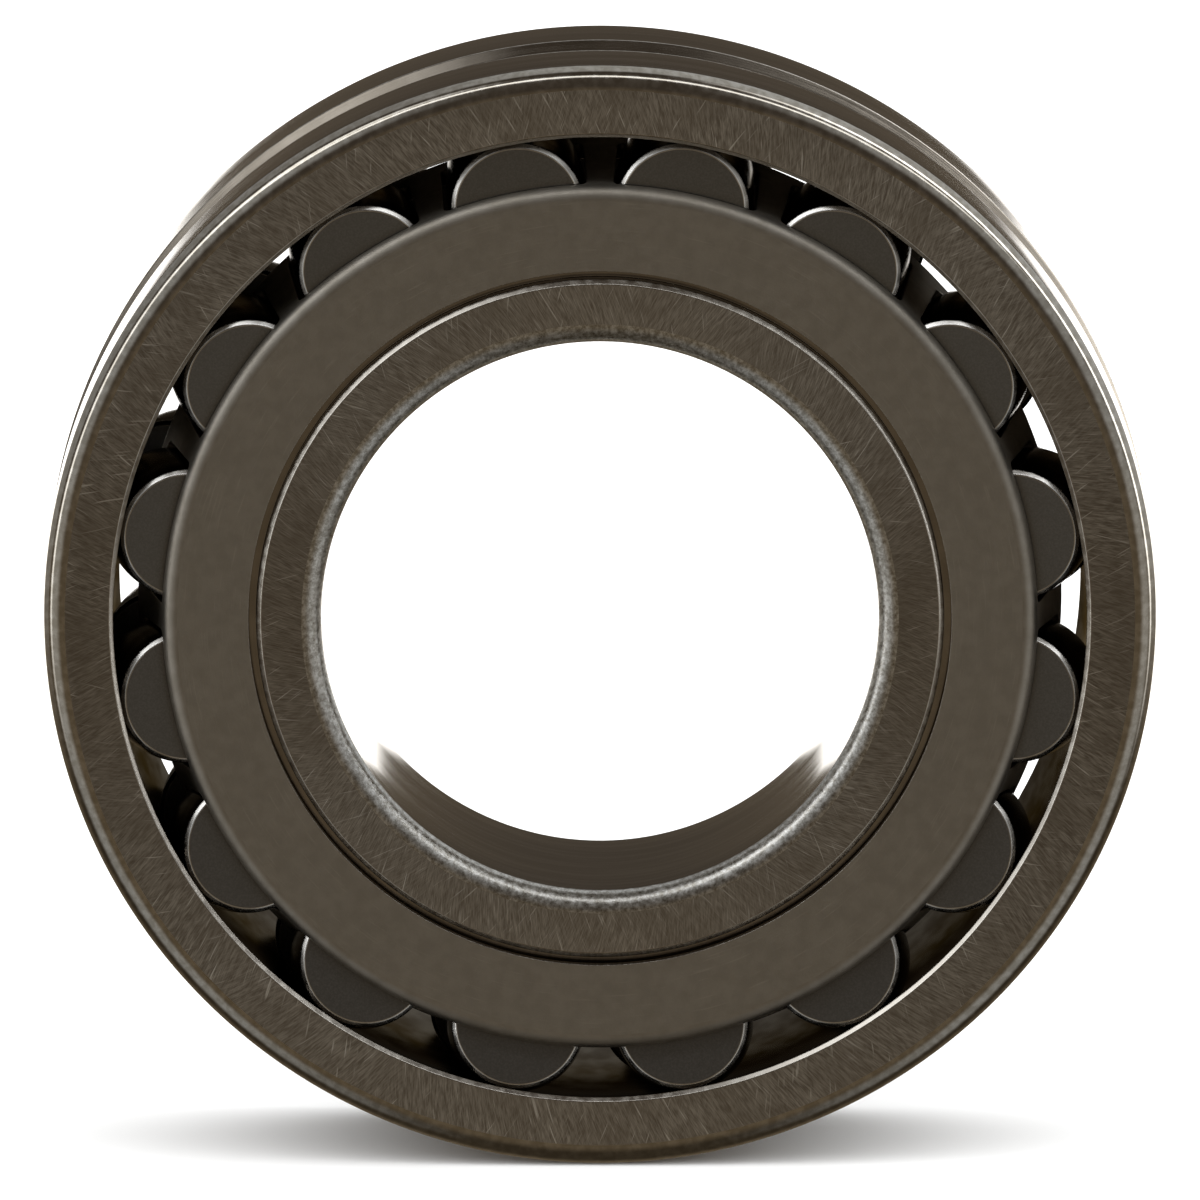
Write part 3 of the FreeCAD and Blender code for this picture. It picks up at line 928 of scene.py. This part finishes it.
def sky():
    """A dim warm room, given by direction: a white backdrop behind the ring and below eye level, a
    glowing hood over it with a bright strip, and a bright panel and a dim curtain on each side, with
    the left panel set back. The room is shaded below. What the camera sees past the ring is white.
    turn is the angle in the bearing's middle plane from the far side over the top, aside the angle
    out of that plane, and off_axis the angle from the far side."""
    world = bpy.data.worlds.new("studio")
    bpy.context.scene.world = world
    world.use_nodes = True
    room = Nodes(world.node_tree)
    add, maths, vectors = room.add, room.maths, room.vectors

    def edge(value, at, soft):
        return add("ShaderNodeMapRange", {0: value, 1: at - soft, 2: at + soft, 3: 0.0, 4: 1.0},
                   interpolation_type="SMOOTHSTEP")

    def between(value, low, high, soft):
        return maths("MULTIPLY", edge(value, low, soft),
                     maths("SUBTRACT", 1.0, edge(value, high, soft)))

    def tinted(colour, strength):
        return vectors("SCALE", {0: colour, "Scale": strength})

    direction = add("ShaderNodeTexCoord", {}, 0)
    x, y, z = add("ShaderNodeSeparateXYZ", {0: direction}).node.outputs
    turn = maths("MULTIPLY", maths("ARCTAN2", z, y), 180 / pi)
    aside = maths("MULTIPLY", maths("ARCSINE", x), 180 / pi)
    off_axis = maths("MULTIPLY", maths("ARCCOSINE", y), 180 / pi)
    flat = vectors("NORMALIZE", {0: vectors("MULTIPLY", {0: direction, 1: (1, 0, 1)})})
    sideways, _, height = add("ShaderNodeSeparateXYZ", {0: flat}).node.outputs
    corner = vectors("DOT_PRODUCT", {0: flat, 1: BRIGHT_CORNER}, 1)

    backdrop = maths("MULTIPLY", between(turn, *BACKDROP_TURN), between(aside, *BACKDROP_ASIDE))
    corner = maths("ADD", 1.0, maths("MULTIPLY", edge(corner, *CORNER_FROM), CORNER_GAIN))
    hood = maths("MULTIPLY", edge(height, *HOOD_BOTTOM), corner)
    outboard = edge(maths("ABSOLUTE", sideways), *SIDES_FROM)
    set_back = maths("MULTIPLY", edge(maths("MULTIPLY", sideways, -1.0), *LEFT_FROM),
                     LEFT_PANEL_BACK)
    sides = maths("MULTIPLY", hood, outboard)
    strip = maths("MULTIPLY", between(turn, *STRIP), between(aside, *STRIP_ASIDE))
    glow = maths("MULTIPLY", between(off_axis, *GLOW), hood)
    bright_sides = between(maths("SUBTRACT", off_axis, set_back), *SIDE_PANELS)
    bright_sides = maths("MULTIPLY", bright_sides, sides)
    dim_sides = maths("MULTIPLY", between(off_axis, *SIDE_CURTAINS), outboard)
    light = add("ShaderNodeMix", {0: edge(z, *ROOM_CHANGES), 6: (*ROOM_LOW, 1), 7: (*ROOM_HIGH, 1)},
                2, data_type="RGBA")
    under = maths("MULTIPLY", between(off_axis, *UNDER), edge(maths("MULTIPLY", z, -1.0), *UNDER_FROM))
    light = tinted(light, maths("SUBTRACT", 1.0, maths("MULTIPLY", under, UNDER_SHADE)))
    for colour, share, strength in ((BACKDROP_COLOUR, backdrop, BACKDROP_STRENGTH),
                                    (STRIP_COLOUR, strip, STRIP_STRENGTH),
                                    (STRIP_COLOUR, bright_sides, SIDE_STRENGTH),
                                    (GLOW_COLOUR, dim_sides, CURTAIN_STRENGTH),
                                    (GLOW_COLOUR, glow, GLOW_STRENGTH)):
        added = tinted(colour, maths("MULTIPLY", share, strength))
        light = vectors("ADD", {0: light, 1: added})
    lit = add("ShaderNodeBackground", {0: light, 1: 1.0})
    seen = add("ShaderNodeBackground", {0: (1, 1, 1, 1), 1: 1.0})
    camera_ray = add("ShaderNodeLightPath", {}, 0)
    room.feed(room.tree.nodes["World Output"].inputs[0],
              add("ShaderNodeMixShader", {0: camera_ray, 1: lit, 2: seen}))


def floor():
    """A pale round floor under the ring, with a light of its own from above so that it stays pale
    and takes a soft shadow. The steel doesn't mirror it."""
    angle = np.arange(FLOOR_CORNERS) * 2 * pi / FLOOR_CORNERS
    ground = -outer_r * MM
    rim = np.stack([FLOOR_REACH * np.cos(angle), FLOOR_REACH * np.sin(angle), ground + 0 * angle],
                   axis=1)
    mesh = bpy.data.meshes.new("floor")
    mesh.from_pydata(rim, [], [list(range(FLOOR_CORNERS))])
    paper = bpy.data.materials.new("pale_paper")
    paper.use_nodes = True
    shader = paper.node_tree.nodes["Principled BSDF"]
    shader.inputs["Base Color"].default_value = (0.9, 0.9, 0.9, 1)
    shader.inputs["Roughness"].default_value = 0.9
    shader.inputs["Specular IOR Level"].default_value = 0.1
    mesh.materials.append(paper)
    floor_object = bpy.data.objects.new("floor", mesh)
    floor_object.visible_glossy = False
    floor_object.visible_diffuse = False
    bpy.context.scene.collection.objects.link(floor_object)
    lamp = bpy.data.lights.new("floor_light", "SUN")
    lamp.energy = FLOOR_LIGHT
    lamp.angle = radians(FLOOR_LIGHT_SPREAD)
    lamp_object = bpy.data.objects.new("floor_light", lamp)
    lamp_object.rotation_euler = (radians(FLOOR_LIGHT_TIP), 0, 0)
    bpy.context.scene.collection.objects.link(lamp_object)
    receivers = bpy.data.collections.new("lit_by_floor_light")
    receivers.objects.link(floor_object)
    lamp_object.light_linking.receiver_collection = receivers


# ============================== making
add_camera()
sky()
floor()
bpy.context.scene.view_settings.view_transform = "Standard"

edge, race, face = rubbed_edge(), painted_shade_raceway(), ground_face()
groove = turned_groove()
ring_finishes = {"raceway": race, "edge": edge, "face": face, "rounding": smooth_rounding(),
                 "rim": polished_rim(), "groove": groove}
inner_finishes = {"raceway": race, "edge": edge, "face": face, "bore_rounding": rough_rounding(),
                  "shoulder": groove, "land": race, "bore": honed_bore()}
guide = turned_guide()
guide_finishes = {"side": guide, "rim": guide, "edge": edge}
roller_finishes = {"end": roller_end(), "barrel": painted_shade_barrel(), "chamfer": roller_break()}
roller_finishes["edge"] = roller_finishes["chamfer"]
cage_finishes = {"sheet": pressed_sheet(), "sheared": sheared_sheet(), "bend": bent_sheet()}
cage_finishes["edge"] = cage_finishes["sheared"]

outer_ring()
inner_ring()
guide_ring()
for row in row_side:
    cage(row)
    rollers(row)

bpy.context.view_layer.update()
